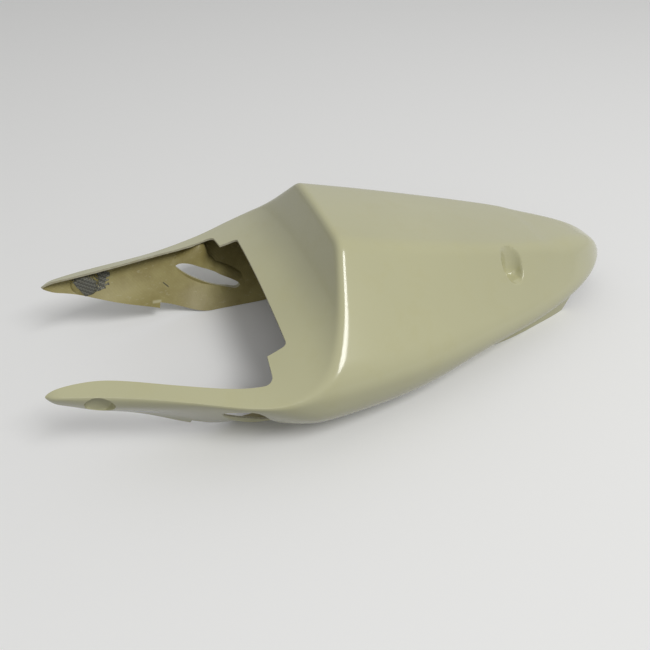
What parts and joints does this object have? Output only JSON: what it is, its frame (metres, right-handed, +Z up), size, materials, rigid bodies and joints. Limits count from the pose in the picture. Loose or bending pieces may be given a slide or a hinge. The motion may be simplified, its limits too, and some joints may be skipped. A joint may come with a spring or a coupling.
{
  "type": "motorcycle seat cowl",
  "caption": "One-piece glass-fibre racing seat cowl: hollow tapered tail hump, curved bum-stop and two slim side arms around the open seat bay.",
  "frame": {"origin": "bottom centre of the bounding box, on the ground line of the lower edges", "axes": "+X to the front of the motorcycle, +Y to its left, +Z up"},
  "size_m": [0.74, 0.3682, 0.1903],
  "materials": {
    "gelcoat": "glossy cream-white gelcoat outside, bare tan laminate inside"
  },
  "bodies": {
    "root": {"seat_cowl": "gelcoat"}
  },
  "joints": []
}
